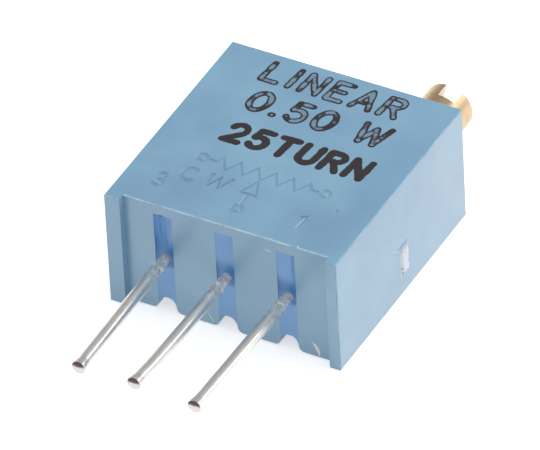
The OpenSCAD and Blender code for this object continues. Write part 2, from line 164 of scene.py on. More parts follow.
valley, lead, peak = zigzag_y
ring_y, barb, point = arrow_y
lines = [[(-pin_x + ring_r, lead), (-5.5 * zigzag_step, lead)]
         + [(k * zigzag_step, peak if k % 2 else valley) for k in range(-5, 6)]
         + [(5.5 * zigzag_step, lead), (pin_x - ring_r, lead)]]
lines.append([(0, ring_y + ring_r), (0, barb)])
lines.append([(0, barb), (arrow_half, barb), (0, point), (-arrow_half, barb), (0, barb)])
for x, y in ((-pin_x, lead), (pin_x, lead), (0, ring_y)):
    lines.append(arc(x, y, ring_r, ring_r, 0, 360, 24))
lines = [(line, mark_r) for line in lines]
sunk_letters = (
    (-3.58, 1.31, arc(0.27, 0.76, 0.24, 0.24, 150, -90) + arc(0.27, 0.26, 0.29, 0.26, 90, -150)),
    (-2.8, 2.02, arc(0.42, 0.5, 0.42, 0.5, 45, 315, 20)),
    (-1.78, 2.06, [(0.08, 1), (0.22, 0), (0.62, 0.92), (0.82, 0), (1.25, 1)]),
    (2.42, 1.32, [(-0.05, 0.78), (0.2, 1), (0.17, 0)]),
)
for x, y, stroke in sunk_letters:
    lines.append(([(x * mm + u * letter_h, y * mm + v * letter_h) for u, v in stroke], letter_r))
lines.append((pit_ends, pit_r))
cutters = []
for line, radius in lines:
    path = [Vector((x, y, face_z - mark_depth + radius)) for x, y in line]
    path.insert(0, path[0] + (path[0] - path[1]).normalized() * mark_end)
    path.append(path[-1] + (path[-1] - path[-2]).normalized() * mark_end)
    run_out = 1 - 1.1 * mark_depth / radius
    cutters.append(rod(path, radius, [run_out] + [1] * len(line) + [run_out]))
for ends in scratches:
    cutters.append(rod([(side_x + scratch_out, y * mm, z * mm) for y, z in ends], scratch_r))
cut_away(case, *cutters)
take_up(case)
bpy.ops.object.shade_smooth_by_angle(angle=math.radians(32))

# Glass-filled thermoset, moulded: satin under a thin resin-rich skin that takes a shine, with cloudy patches
# and a fine grain from the mould. In the sunk marks it is painted a shade darker, as shade in the grooves.
case.data.materials.clear()
for finish, low, high in (("moulded_blue_thermoset", "#6999BC", "#7CACC9"),
                          ("shaded_sunk_blue_thermoset", "#608FB2", "#73A2BF")):
    thermoset, tree = empty_material(finish)
    at = add(tree, "ShaderNodeTexCoord", {}).outputs["Object"]
    cloud = add(tree, "ShaderNodeTexNoise", {"Vector": at, "Scale": 0.35 / mm, "Detail": 4,
                                             "Roughness": 0.55})
    grain = add(tree, "ShaderNodeTexNoise", {"Vector": at, "Scale": 9 / mm, "Detail": 3, "Roughness": 0.7})
    shade = add(tree, "ShaderNodeMapRange", {"Value": cloud.outputs["Fac"], "From Min": 0.3, "From Max": 0.7})
    colour = add(tree, "ShaderNodeMix", {"data_type": "RGBA", 0: shade.outputs[0],
                                         6: linear(low), 7: linear(high)})
    gloss = add(tree, "ShaderNodeMapRange", {"Value": grain.outputs["Fac"], "To Min": 0.28, "To Max": 0.42})
    bump = add(tree, "ShaderNodeBump", {"Height": grain.outputs["Fac"], "Strength": 0.2,
                                        "Distance": 0.015 * mm})
    skin = add(tree, "ShaderNodeBsdfPrincipled", {
        "Base Color": colour.outputs[2], "Roughness": gloss.outputs[0], "Normal": bump.outputs[0], "IOR": 1.6,
        "Specular IOR Level": 0.85, "Sheen Weight": 1.0, "Sheen Roughness": 0.3,
        "Coat Weight": 0.45, "Coat Roughness": 0.3, "Coat IOR": 1.6})
    add(tree, "ShaderNodeOutputMaterial", {"Surface": skin.outputs[0]})
    case.data.materials.append(thermoset)

# The same thermoset on the moulded edges, paler and duller: partly rubbed by handling, partly a painted
# highlight.
worn_and_highlit, tree = empty_material("worn_and_highlit_blue_thermoset")
at = add(tree, "ShaderNodeTexCoord", {}).outputs["Object"]
wear = add(tree, "ShaderNodeTexNoise", {"Vector": at, "Scale": 1.2 / mm, "Detail": 5, "Roughness": 0.65})
rub = add(tree, "ShaderNodeMapRange", {"Value": wear.outputs["Fac"], "From Min": 0.35, "From Max": 0.65})
colour = add(tree, "ShaderNodeMix", {"data_type": "RGBA", 0: rub.outputs[0],
                                     6: linear("#7CA8C4"), 7: linear("#A6C8DA")})
skin = add(tree, "ShaderNodeBsdfPrincipled", {"Base Color": colour.outputs[2], "Roughness": 0.55, "IOR": 1.6})
add(tree, "ShaderNodeOutputMaterial", {"Surface": skin.outputs[0]})

case.data.materials.append(worn_and_highlit)
# Faces on the moulded edges take the paler thermoset: partly wear, partly a painted highlight along the
# edges.
case_low, case_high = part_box("case")
# Faces in the sunk marks take the darker thermoset: painted shade in the grooves.
for face in case.data.polygons:
    near = [min(face.center[i] - case_low[i], case_high[i] - face.center[i]) < pale_edge_reach for i in range(3)]
    sunk = face_z - face.center.z
    if sum(near) > 1 and max(abs(part) for part in face.normal) < 0.995:
        face.material_index = 2
    elif face.center.y > mm and sunk_shade_depth < sunk < 1.2 * mark_depth and face.normal.z > 0.1:
        face.material_index = 1
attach(case, "case")
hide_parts("case")

# Gate stub, flash and ejector burr
# Left on the case by its mould: the rough stub where the gate was broken off the side, a thin ragged fin
# where the mould's halves met along the top of the pin face, a burr round one ejector pin, and two whiskers.
gate_y, gate_z = 5.13 * mm, -0.92 * mm
gate_w, gate_l, gate_t = 0.74 * mm, 1.56 * mm, 0.05 * mm
gate_sunk = 0.02 * mm                             # by which its edge lies under the side's surface
gate_root = 0.05 * mm                             # its thickness into the case
gate_ragged = 0.06 * mm
bpy.ops.object.select_all(action="DESELECT")
bpy.ops.mesh.primitive_grid_add(x_subdivisions=20, y_subdivisions=40, size=1)
gate = bpy.context.object
gate.name = "gate_stub"
torn = gate.data.attributes.new("torn", "FLOAT", "POINT")
for vertex in gate.data.vertices:
    u, v = vertex.co.x, vertex.co.y
    fade = min(max((0.5 - v) / 0.35, 0), 1)
    torn.data[vertex.index].value = fade * max(min(max((u + 0.4) / 0.3, 0.75), 1), 1 if v < -0.38 else 0)
    edge = min(0.5 - abs(u), (0.5 - abs(v)) * gate_l / gate_w)
    ragged = gate_ragged * noise.noise(Vector((u * 4, v * 9, 3.0)))
    rough = gate_t * fade * (0.75 + 0.6 * noise.noise(Vector((u * 7, v * 14, 8.0))))
    vertex.co = (side_x - gate_sunk + (gate_sunk + rough) * min(max(edge / 0.16, 0), 1),
                 gate_y + u * gate_w + ragged * 2 * abs(u), gate_z + v * gate_l + ragged * 2 * abs(v))
bpy.ops.object.mode_set(mode="EDIT")
bpy.ops.mesh.select_all(action="SELECT")
bpy.ops.mesh.extrude_region_move(TRANSFORM_OT_translate={"value": (-gate_root, 0, 0)})
bpy.ops.mesh.select_all(action="SELECT")
bpy.ops.mesh.normals_make_consistent(inside=False)
bpy.ops.object.mode_set(mode="OBJECT")
bpy.ops.object.shade_smooth_by_angle(angle=math.radians(50))

# Broken thermoset: paler than the skin, chalky, with a few dark spots painted in as the shade of pits.
broken, tree = empty_material("broken_thermoset")
at = add(tree, "ShaderNodeTexCoord", {}).outputs["Object"]
chalk = add(tree, "ShaderNodeTexNoise", {"Vector": at, "Scale": 3 / mm, "Detail": 5, "Roughness": 0.7})
pits = add(tree, "ShaderNodeTexNoise", {"Vector": at, "Scale": 5.5 / mm, "Detail": 2})
# Painted shade: spots where pits would lie in shade.
pit_shade = add(tree, "ShaderNodeMapRange", {"Value": pits.outputs["Fac"], "From Min": 0.64, "From Max": 0.7})
ragged = add(tree, "ShaderNodeAttribute", {"attribute_name": "torn"})
white = add(tree, "ShaderNodeMix", {"data_type": "RGBA", 0: chalk.outputs["Fac"],
                                    6: linear("#E2EBF3"), 7: linear("#FCFDFE")})
pale = add(tree, "ShaderNodeMix", {"data_type": "RGBA", 0: ragged.outputs["Fac"],
                                   6: linear("#7BA5C2"), 7: white.outputs[2]})
colour = add(tree, "ShaderNodeMix", {"data_type": "RGBA", 0: pit_shade.outputs[0],
                                     6: pale.outputs[2], 7: linear("#6F8698")})
bump = add(tree, "ShaderNodeBump", {"Height": chalk.outputs["Fac"], "Strength": 0.6, "Distance": 0.04 * mm})
skin = add(tree, "ShaderNodeBsdfPrincipled", {"Base Color": colour.outputs[2], "Roughness": 0.75,
                                              "Normal": bump.outputs[0]})
add(tree, "ShaderNodeOutputMaterial", {"Surface": skin.outputs[0]})
gate.data.materials.append(broken)
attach(gate, "case")

flash_x0, flash_x1 = -4.13 * mm, 4.33 * mm
flash_t = 0.045 * mm
flash_ragged_y, flash_ragged_z = 0.01 * mm, 0.004 * mm
flash_tears = (1.93 * mm, 3.08 * mm)              # where the fin tore and stands up
tear_w, tear_h = 0.04 * mm, 0.09 * mm
bpy.ops.object.select_all(action="DESELECT")
bpy.ops.mesh.primitive_cube_add(size=1)
flash = bpy.context.object
flash.name = "mould_flash"
flash.scale = (flash_x1 - flash_x0, flash_t, flash_t)
flash.location = ((flash_x0 + flash_x1) / 2, pin_face_y + 0.01 * mm, face_z - 0.018 * mm)
bpy.ops.object.transform_apply(location=True, rotation=True, scale=True)
bpy.ops.object.mode_set(mode="EDIT")
bpy.ops.mesh.select_all(action="DESELECT")
work = bmesh.from_edit_mesh(flash.data)
for edge in work.edges:
    edge.select = abs(edge.verts[0].co.x - edge.verts[1].co.x) > flash_t
bmesh.update_edit_mesh(flash.data)
bpy.ops.mesh.subdivide(number_cuts=99)
bpy.ops.object.mode_set(mode="OBJECT")
for vertex in flash.data.vertices:
    x, y, z = vertex.co
    ragged = noise.noise(Vector((x * 2600, 1.7, 0.3))) + 0.6 * noise.noise(Vector((x * 8000, 5.1, 2.2)))
    tear = sum(math.exp(-((x - middle) / tear_w) ** 2) for middle in flash_tears)
    if y < pin_face_y:
        vertex.co.y = y - flash_ragged_y * ragged
    if z > face_z:
        vertex.co.z = z + flash_ragged_z * ragged + tear_h * tear

# Flash: the same thermoset in a fin so thin that it is pale, with the light shining through it painted into
# that paleness.
fin, tree = empty_material("thin_thermoset_flash")
at = add(tree, "ShaderNodeTexCoord", {}).outputs["Object"]
nick = add(tree, "ShaderNodeTexNoise", {"Vector": at, "Scale": 0.9 / mm, "Detail": 5, "Roughness": 0.65})
pale_patch = add(tree, "ShaderNodeMapRange", {"Value": nick.outputs["Fac"], "From Min": 0.35, "From Max": 0.65})
colour = add(tree, "ShaderNodeMix", {"data_type": "RGBA", 0: pale_patch.outputs[0],
                                     6: linear("#7FA9C4"), 7: linear("#D2E6F0")})
skin = add(tree, "ShaderNodeBsdfPrincipled", {"Base Color": colour.outputs[2], "Roughness": 0.5})
add(tree, "ShaderNodeOutputMaterial", {"Surface": skin.outputs[0]})
flash.data.materials.append(fin)
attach(flash, "case")

ejector_x, ejector_z = 3.05 * mm, -2.36 * mm
ejector_r = 0.72 * mm
burr_r = 0.08 * mm
burr_steps = 24
burr_flat = 0.6                                   # how flat the burr lies on the face
whisker_runs = (((-0.83, -1.93), (-0.74, -2.1), (-0.6, -2.29)), ((1.7, 1.96), (1.83, 1.96), (1.97, 1.89)))
whisker_r = 0.03 * mm
burr_arc = arc(ejector_x, ejector_z, ejector_r, ejector_r, -2, 52, burr_steps)
burr_swell = [0.1 + 0.9 * math.sin(math.pi * k / burr_steps) for k in range(burr_steps + 1)]
burr = rod([(x, pin_face_y, z) for x, z in burr_arc], burr_r, burr_swell)
burr.name = "ejector_burr"
whiskers = []
for run in whisker_runs:
    whiskers.append(rod([(x * mm, pin_face_y, z * mm) for x, z in run], whisker_r, [0.2, 1, 0.3]))
take_up(burr, *whiskers)
bpy.ops.object.join()
for vertex in burr.data.vertices:
    vertex.co.y = pin_face_y + (vertex.co.y - pin_face_y) * burr_flat
bpy.ops.object.shade_smooth_by_angle(angle=math.radians(50))
# The burr and whiskers take the broken thermoset at its palest: its chalky colour, with the light caught
# along the burr painted into it.
torn = burr.data.attributes.new("torn", "FLOAT", "POINT")
torn.data.foreach_set("value", [1.0] * len(burr.data.vertices))
burr.data.materials.append(broken)
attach(burr, "case")

# O-ring and adjustment screw
# The screw is turned from brass bar, with its worm cut on the same shank and its slot milled. The rubber
# ring in its groove seals it in the case.


def dress(material, *names):
    """Gives these CAD nodes that material alone."""
    for name in names:
        nodes[name].data.materials.clear()
        nodes[name].data.materials.append(material)


# Rubber, moulded: black and matt, with a faint grey bloom.
rubber, tree = empty_material("moulded_black_rubber")
at = add(tree, "ShaderNodeTexCoord", {}).outputs["Object"]
bloom = add(tree, "ShaderNodeTexNoise", {"Vector": at, "Scale": 4 / mm, "Detail": 3})
colour = add(tree, "ShaderNodeMix", {"data_type": "RGBA", 0: bloom.outputs["Fac"],
                                     6: linear("#17181A"), 7: linear("#2A2B2D")})
skin = add(tree, "ShaderNodeBsdfPrincipled", {"Base Color": colour.outputs[2], "Roughness": 0.6})
add(tree, "ShaderNodeOutputMaterial", {"Surface": skin.outputs[0]})
dress(rubber, "o_ring")

# Brass, turned: pale gold, with fine rings from the tool that are drawn a little coarser than they are.
screw_low, screw_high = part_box("adjustment_screw")
ring_pitch = 0.09 * mm
brass, tree = empty_material("turned_brass")
at = add(tree, "ShaderNodeTexCoord", {}).outputs["Object"]
about = add(tree, "ShaderNodeMapping", {"Vector": at, "Location": (-(screw_low.x + screw_high.x) / 2, 0,
                                                                  -(screw_low.z + screw_high.z) / 2)})
rings = add(tree, "ShaderNodeTexWave", {
    "Vector": about.outputs[0], "wave_type": "RINGS", "rings_direction": "Y",
    "Scale": math.pi / (10 * ring_pitch), "Distortion": 0.6, "Detail": 2, "Detail Scale": 2.0})
tarnish = add(tree, "ShaderNodeTexNoise", {"Vector": at, "Scale": 1.6 / mm, "Detail": 5, "Roughness": 0.65})
colour = add(tree, "ShaderNodeMix", {"data_type": "RGBA", 0: tarnish.outputs["Fac"],
                                     6: linear("#BF9F72"), 7: linear("#DFCAAC")})
gloss = add(tree, "ShaderNodeMapRange", {"Value": tarnish.outputs["Fac"], "To Min": 0.42, "To Max": 0.28})
bump = add(tree, "ShaderNodeBump", {"Height": rings.outputs["Fac"], "Strength": 0.25, "Distance": 0.005 * mm})
skin = add(tree, "ShaderNodeBsdfPrincipled", {"Base Color": colour.outputs[2], "Metallic": 1.0,
                                              "Roughness": gloss.outputs[0], "Normal": bump.outputs[0]})
add(tree, "ShaderNodeOutputMaterial", {"Surface": skin.outputs[0]})
dress(brass, "adjustment_screw")

# Retaining clip
# Stamped from thin spring steel and pressed into the case from the open back, astride the screw's neck.
# Spring steel, rolled: grey and half bright, with fine lines along the strip.
steel, tree = empty_material("rolled_spring_steel")
at = add(tree, "ShaderNodeTexCoord", {}).outputs["Object"]
along = add(tree, "ShaderNodeMapping", {"Vector": at, "Scale": (14 / mm, 14 / mm, 1 / mm)})
lines = add(tree, "ShaderNodeTexNoise", {"Vector": along.outputs[0], "Scale": 1.0, "Detail": 3})
gloss = add(tree, "ShaderNodeMapRange", {"Value": lines.outputs["Fac"], "To Min": 0.22, "To Max": 0.42})
colour = add(tree, "ShaderNodeMix", {"data_type": "RGBA", 0: lines.outputs["Fac"],
                                     6: linear("#8E9093"), 7: linear("#B4B6B8")})
skin = add(tree, "ShaderNodeBsdfPrincipled", {"Base Color": colour.outputs[2], "Metallic": 1.0,
                                              "Roughness": gloss.outputs[0]})
add(tree, "ShaderNodeOutputMaterial", {"Surface": skin.outputs[0]})
dress(steel, "retaining_clip")

# Rotor and wiper
# The rotor is a worm wheel moulded from nylon that turns on a post of the case. The wiper is stamped from
# a springy silver alloy and staked under it.
# Nylon, moulded: ivory, a little waxy.
nylon, tree = empty_material("moulded_ivory_nylon")
at = add(tree, "ShaderNodeTexCoord", {}).outputs["Object"]
cloud = add(tree, "ShaderNodeTexNoise", {"Vector": at, "Scale": 1.5 / mm, "Detail": 3})
colour = add(tree, "ShaderNodeMix", {"data_type": "RGBA", 0: cloud.outputs["Fac"],
                                     6: linear("#DDD6C4"), 7: linear("#EFEADC")})
skin = add(tree, "ShaderNodeBsdfPrincipled", {"Base Color": colour.outputs[2], "Roughness": 0.42})
add(tree, "ShaderNodeOutputMaterial", {"Surface": skin.outputs[0]})
dress(nylon, "rotor")

# Wiper alloy, stamped: warm silver with soft rolling lines.
alloy, tree = empty_material("stamped_wiper_alloy")
at = add(tree, "ShaderNodeTexCoord", {}).outputs["Object"]
along = add(tree, "ShaderNodeMapping", {"Vector": at, "Scale": (12 / mm, 1.2 / mm, 1.2 / mm)})
lines = add(tree, "ShaderNodeTexNoise", {"Vector": along.outputs[0], "Scale": 1.0, "Detail": 2})
colour = add(tree, "ShaderNodeMix", {"data_type": "RGBA", 0: lines.outputs["Fac"],
                                     6: linear("#B9AFA0"), 7: linear("#D8CFC0")})
skin = add(tree, "ShaderNodeBsdfPrincipled", {"Base Color": colour.outputs[2], "Metallic": 1.0,
                                              "Roughness": 0.3})
add(tree, "ShaderNodeOutputMaterial", {"Surface": skin.outputs[0]})
dress(alloy, "wiper")

# Substrate and films
# A fired alumina plate with a screen-printed cermet track and silver conductor films.
# Alumina, fired: white and matt, with faint grey specks.
alumina, tree = empty_material("fired_alumina")
at = add(tree, "ShaderNodeTexCoord", {}).outputs["Object"]
specks = add(tree, "ShaderNodeTexNoise", {"Vector": at, "Scale": 12 / mm, "Detail": 2})
spots = add(tree, "ShaderNodeMapRange", {"Value": specks.outputs["Fac"], "From Min": 0.62, "From Max": 0.72})
colour = add(tree, "ShaderNodeMix", {"data_type": "RGBA", 0: spots.outputs[0],
                                     6: linear("#ECEAE4"), 7: linear("#CFCCC4")})
skin = add(tree, "ShaderNodeBsdfPrincipled", {"Base Color": colour.outputs[2], "Roughness": 0.62})
add(tree, "ShaderNodeOutputMaterial", {"Surface": skin.outputs[0]})
dress(alumina, "substrate")

# Cermet, printed and fired: near black, with the print screen's mesh just showing.
screen_pitch = 0.1 * mm
cermet, tree = empty_material("fired_cermet_film")
at = add(tree, "ShaderNodeTexCoord", {}).outputs["Object"]
mesh_x, mesh_y = [add(tree, "ShaderNodeTexWave", {"Vector": at, "bands_direction": way,
                                                  "Scale": math.pi / (10 * screen_pitch)}) for way in "XY"]
weave = add(tree, "ShaderNodeMath", {"operation": "MULTIPLY", 0: mesh_x.outputs["Fac"],
                                     1: mesh_y.outputs["Fac"]})
colour = add(tree, "ShaderNodeMix", {"data_type": "RGBA", 0: weave.outputs[0],
                                     6: linear("#23211F"), 7: linear("#34312E")})
skin = add(tree, "ShaderNodeBsdfPrincipled", {"Base Color": colour.outputs[2], "Roughness": 0.38})
add(tree, "ShaderNodeOutputMaterial", {"Surface": skin.outputs[0]})
dress(cermet, "resistive_track")

# Silver conductor, printed and fired: soft grey metal with a powdery grain.
silver, tree = empty_material("fired_silver_film")
at = add(tree, "ShaderNodeTexCoord", {}).outputs["Object"]
powder = add(tree, "ShaderNodeTexNoise", {"Vector": at, "Scale": 14 / mm, "Detail": 2})
gloss = add(tree, "ShaderNodeMapRange", {"Value": powder.outputs["Fac"], "To Min": 0.38, "To Max": 0.6})
colour = add(tree, "ShaderNodeMix", {"data_type": "RGBA", 0: powder.outputs["Fac"],
                                     6: linear("#A9A8A4"), 7: linear("#CBCAC6")})
skin = add(tree, "ShaderNodeBsdfPrincipled", {"Base Color": colour.outputs[2], "Metallic": 1.0,
                                              "Roughness": gloss.outputs[0]})
add(tree, "ShaderNodeOutputMaterial", {"Surface": skin.outputs[0]})
dress(silver, "collector", "end_electrode_1", "end_electrode_3")

# Pins
# Round copper wire dipped in tin: thin at the root, thicker from a lip where the dip stopped, a little
# lumpy. Flattened feet lie on the films, and shears spread the tips. Each pin leans a little its own way.
pin_root_r = 0.2 * mm
pin_r = 0.24 * mm
pin_tip_r = 0.285 * mm
pin_inner = 0.7 * mm
pin_lip_y = -0.22 * mm
pin_tip_l = 0.45 * mm
pin_end = -6.5 * mm
pin_facets = 32
foot_y = 0.5 * mm                                 # behind which the pin keeps the shape of its solid
lip_y, lip_w, lip_h = pin_lip_y - 0.09 * mm, 0.07 * mm, 0.02 * mm
lump_y, lump_reach = -0.5 * mm, 0.8 * mm          # where the tin is lumpiest, and how far along that goes
wave_h, lump_h = 0.006 * mm, 0.024 * mm
tip_dome = 0.06 * mm
pin_leans = {     # place along the row, lean at the tip, how late the lean sets in, and place of the tip
    "pin_1": (2.54, -0.13, 2.0, -6.58),
    "pin_2": (0.0, -0.19, 2.8, -6.38),
    "pin_3": (-2.54, 0.1, 1.2, -6.44),
}

bpy.ops.object.select_all(action="DESELECT")
bpy.ops.mesh.primitive_cylinder_add(vertices=pin_facets, radius=pin_r, depth=pin_inner - pin_end,
                                    location=(0, (pin_inner + pin_end) / 2, 0), rotation=(math.pi / 2, 0, 0))
wire = bpy.context.object
bpy.ops.object.transform_apply(location=True, rotation=True, scale=True)
bpy.ops.object.mode_set(mode="EDIT")
bpy.ops.mesh.select_all(action="DESELECT")
work = bmesh.from_edit_mesh(wire.data)
for edge in work.edges:
    edge.select = abs(edge.verts[0].co.y - edge.verts[1].co.y) > pin_r
bmesh.update_edit_mesh(wire.data)
bpy.ops.mesh.subdivide(number_cuts=99)
bpy.ops.mesh.select_all(action="DESELECT")
work = bmesh.from_edit_mesh(wire.data)
for face in work.faces:
    face.select = face.normal.y < -0.9
bmesh.update_edit_mesh(wire.data)
bpy.ops.mesh.inset(thickness=0.015 * mm)
bpy.ops.mesh.inset(thickness=0.08 * mm)
bpy.ops.mesh.poke()
bpy.ops.object.mode_set(mode="OBJECT")

# Tin, dipped: half bright, with a slow waviness. Near the root it set frosted, with a pale speckle painted in
# as glints on its crinkles, and behind the lip the wire is pale and dull.
tin, tree = empty_material("dipped_tin")
at = add(tree, "ShaderNodeTexCoord", {}).outputs["Object"]
flow = add(tree, "ShaderNodeTexNoise", {"Vector": at, "Scale": 0.8 / mm, "Detail": 3, "Roughness": 0.5})
drawn = add(tree, "ShaderNodeMapping", {"Vector": at, "Scale": (9 / mm, 1.1 / mm, 9 / mm)})
frost = add(tree, "ShaderNodeTexNoise", {"Vector": drawn.outputs[0], "Scale": 1.0, "Detail": 3,
                                         "Roughness": 0.6})
crinkle = add(tree, "ShaderNodeTexNoise", {"Vector": at, "Scale": 6 / mm, "Detail": 4, "Roughness": 0.6})
along = add(tree, "ShaderNodeSeparateXYZ", {"Vector": at})
root = add(tree, "ShaderNodeMapRange", {"Value": along.outputs["Y"], "From Min": -1.5 * mm,
                                        "From Max": -0.5 * mm})
bare = add(tree, "ShaderNodeMapRange", {"Value": along.outputs["Y"], "From Min": pin_lip_y - 0.25 * mm,
                                        "From Max": pin_lip_y - 0.12 * mm})
spots = add(tree, "ShaderNodeMapRange", {"Value": crinkle.outputs["Fac"], "From Min": 0.38, "From Max": 0.62})
bright = add(tree, "ShaderNodeMix", {"data_type": "RGBA", 0: flow.outputs["Fac"],
                                     6: linear("#DAD7D2"), 7: linear("#F3F0EB")})
# Pale speckle near the root: partly the frosted tin's tone, partly painted glints.
frost_and_glints = add(tree, "ShaderNodeMix", {"data_type": "RGBA", 0: spots.outputs[0],
                                   6: linear("#CBC8C2"), 7: linear("#FFFEFB")})
colour = add(tree, "ShaderNodeMix", {"data_type": "RGBA", 0: root.outputs[0],
                                     6: bright.outputs[2], 7: frost_and_glints.outputs[2]})
gloss = add(tree, "ShaderNodeMapRange", {"Value": frost.outputs["Fac"], "To Min": 0.24, "To Max": 0.36})
frosted = add(tree, "ShaderNodeMapRange", {"Value": root.outputs[0], "To Min": 0.94, "To Max": 0.75})
metal = add(tree, "ShaderNodeMath", {"operation": "MULTIPLY_ADD", 0: bare.outputs[0], 1: -0.4,
                                     2: frosted.outputs[0]})
relief = add(tree, "ShaderNodeMath", {"operation": "MULTIPLY", 0: crinkle.outputs["Fac"], 1: root.outputs[0]})
bump = add(tree, "ShaderNodeBump", {"Height": relief.outputs[0], "Strength": 0.4, "Distance": 0.035 * mm})
skin = add(tree, "ShaderNodeBsdfPrincipled", {"Base Color": colour.outputs[2], "Metallic": metal.outputs[0],
                                              "Roughness": gloss.outputs[0], "Normal": bump.outputs[0]})
add(tree, "ShaderNodeOutputMaterial", {"Surface": skin.outputs[0]})

# Sheared copper: dull brown on the upper part of the cut end, pale on the lower part, with a ragged line
# between.
sheared, tree = empty_material("sheared_copper")
at = add(tree, "ShaderNodeTexCoord", {}).outputs["Object"]
tear = add(tree, "ShaderNodeTexNoise", {"Vector": at, "Scale": 6 / mm, "Detail": 4})
across = add(tree, "ShaderNodeSeparateXYZ", {"Vector": at})
height = add(tree, "ShaderNodeMath", {"operation": "MULTIPLY_ADD", 0: tear.outputs["Fac"], 1: 0.12 * mm,
                                      2: across.outputs["Z"]})
upper_part = add(tree, "ShaderNodeMapRange", {"Value": height.outputs[0], "From Min": 0.07 * mm,
                                         "From Max": 0.16 * mm})
colour = add(tree, "ShaderNodeMix", {"data_type": "RGBA", 0: upper_part.outputs[0],
                                     6: linear("#F2ECE8"), 7: linear("#5C4B49")})
skin = add(tree, "ShaderNodeBsdfPrincipled", {"Base Color": colour.outputs[2], "Metallic": 0.3,
                                              "Roughness": 0.5})
add(tree, "ShaderNodeOutputMaterial", {"Surface": skin.outputs[0]})

for count, (pin, (root_x, lean, late, end_y)) in enumerate(pin_leans.items()):
    piece = merged_copy(pin, "tinned_" + pin)
    bpy.ops.object.mode_set(mode="EDIT")
    bpy.ops.mesh.select_all(action="SELECT")
    bpy.ops.mesh.bisect(plane_co=(0, foot_y, 0), plane_no=(0, 1, 0), use_fill=True, clear_inner=True)
    bpy.ops.object.mode_set(mode="OBJECT")
    outer = bpy.data.objects.new("outer", wire.data.copy())
    bpy.context.scene.collection.objects.link(outer)
    stretch = (end_y * mm - pin_lip_y) / (pin_end - pin_lip_y)
    for vertex in outer.data.vertices:
        x, y, z = vertex.co
        out = math.hypot(x, z) / pin_r
        turn = math.atan2(z, x)
        grown = min(max((pin_lip_y + 0.04 * mm - y) / (0.08 * mm), 0), 1)
        lip = math.exp(-((y - lip_y) / lip_w) ** 2)
        flare = min(max((pin_end + pin_tip_l - y) / pin_tip_l, 0), 1)
        wavy = noise.noise(Vector((x * 1500, y * 900 + 31 * count, z * 1500)))
        lumps = noise.noise(Vector((x * 5200, y * 4200 + 17 * count, z * 5200)))
        near = math.exp(-((y - lump_y) / lump_reach) ** 2)
        radius = pin_root_r + (pin_r - pin_root_r) * grown * grown * (3 - 2 * grown) + lip_h * lip
        radius += (pin_tip_r - pin_r) * flare * flare * (3 - 2 * flare)
        radius += wave_h * wavy + lump_h * near * lumps
        dome = tip_dome * math.sqrt(max(1 - out * out, 0)) if y < pin_end + 0.001 * mm else 0
        y = y - dome if y > pin_lip_y else pin_lip_y + (y - pin_lip_y) * stretch - dome
        along = max(pin_face_y - y, 0) / (pin_face_y - end_y * mm)
        vertex.co = (root_x * mm + lean * mm * along ** late + radius * out * math.cos(turn), y,
                     radius * out * math.sin(turn))
    outer.data.materials.append(tin)
    outer.data.materials.append(sheared)
    for face in outer.data.polygons:
        if face.center.y < end_y * mm - 0.02 * mm:
            face.material_index = 1
    piece.data.materials.clear()
    piece.data.materials.append(tin)
    take_up(piece, outer)
    bpy.ops.object.join()
    bpy.ops.object.shade_smooth_by_angle(angle=math.radians(40))
    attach(piece, "case")
    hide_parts(pin)
bpy.data.objects.remove(wire)

# Solder joints
# Tin solder that ran round the pins' feet and set on the films: bright, with a slight frost.
solder, tree = empty_material("set_tin_solder")
at = add(tree, "ShaderNodeTexCoord", {}).outputs["Object"]
frost = add(tree, "ShaderNodeTexNoise", {"Vector": at, "Scale": 6 / mm, "Detail": 4})
gloss = add(tree, "ShaderNodeMapRange", {"Value": frost.outputs["Fac"], "To Min": 0.15, "To Max": 0.4})
colour = add(tree, "ShaderNodeMix", {"data_type": "RGBA", 0: frost.outputs["Fac"],
                                     6: linear("#B5B5B3"), 7: linear("#DADAD8")})
skin = add(tree, "ShaderNodeBsdfPrincipled", {"Base Color": colour.outputs[2], "Metallic": 1.0,
                                              "Roughness": gloss.outputs[0]})
add(tree, "ShaderNodeOutputMaterial", {"Surface": skin.outputs[0]})
dress(solder, "solder_joint_1", "solder_joint_2", "solder_joint_3")

# Potting
# Blue epoxy poured into the back over everything, and on through the pin slots. Before it sets it climbs
# the walls a little and draws in where it wets each pin.
well_low, well_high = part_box("epoxy_seal")
pour_z, plate_top = well_low.z, -0.79 * mm
well_y = 1.2 * mm
slot_half = 0.38 * mm
slot_end = 0.5 * mm
finger_y = 0.318 * mm
wall_climb, wall_reach = 0.16 * mm, 0.16 * mm     # of the poured surface up the walls of the well
pour_ripple = 0.02 * mm
finger_pulls = (     # place along the row, reach of the hollow above the pin, and its depth in mm
    (-pin_x, 0.85 * mm, 0.17),
    (0, 0.4 * mm, 0.13),
    (pin_x, 0.55 * mm, 0.15),
)

bpy.ops.object.select_all(action="DESELECT")
bpy.ops.mesh.primitive_grid_add(x_subdivisions=64, y_subdivisions=64, size=1)
plate = bpy.context.object
plate.name = "cast_epoxy"
for vertex in plate.data.vertices:
    x = well_low.x + (vertex.co.x + 0.5) * (well_high.x - well_low.x)
    y = well_y + (vertex.co.y + 0.5) * (well_high.y - well_y)
    wall = min(x - well_low.x, well_high.x - x, y - well_y, well_high.y - y)
    ripple = pour_ripple * noise.noise(Vector((x * 420, y * 420, 4.0)))
    vertex.co = (x, y, pour_z - wall_climb * math.exp(-wall / wall_reach) + ripple)
bpy.ops.object.mode_set(mode="EDIT")
bpy.ops.mesh.select_all(action="SELECT")
bpy.ops.mesh.extrude_region_move(TRANSFORM_OT_translate={"value": (0, 0, plate_top - pour_z)})
bpy.ops.transform.resize(value=(1, 1, 0), center_override=(0, 0, plate_top))
bpy.ops.mesh.select_all(action="SELECT")
bpy.ops.mesh.normals_make_consistent(inside=False)
bpy.ops.object.mode_set(mode="OBJECT")
plate.data.attributes.new("drawn", "FLOAT", "POINT")

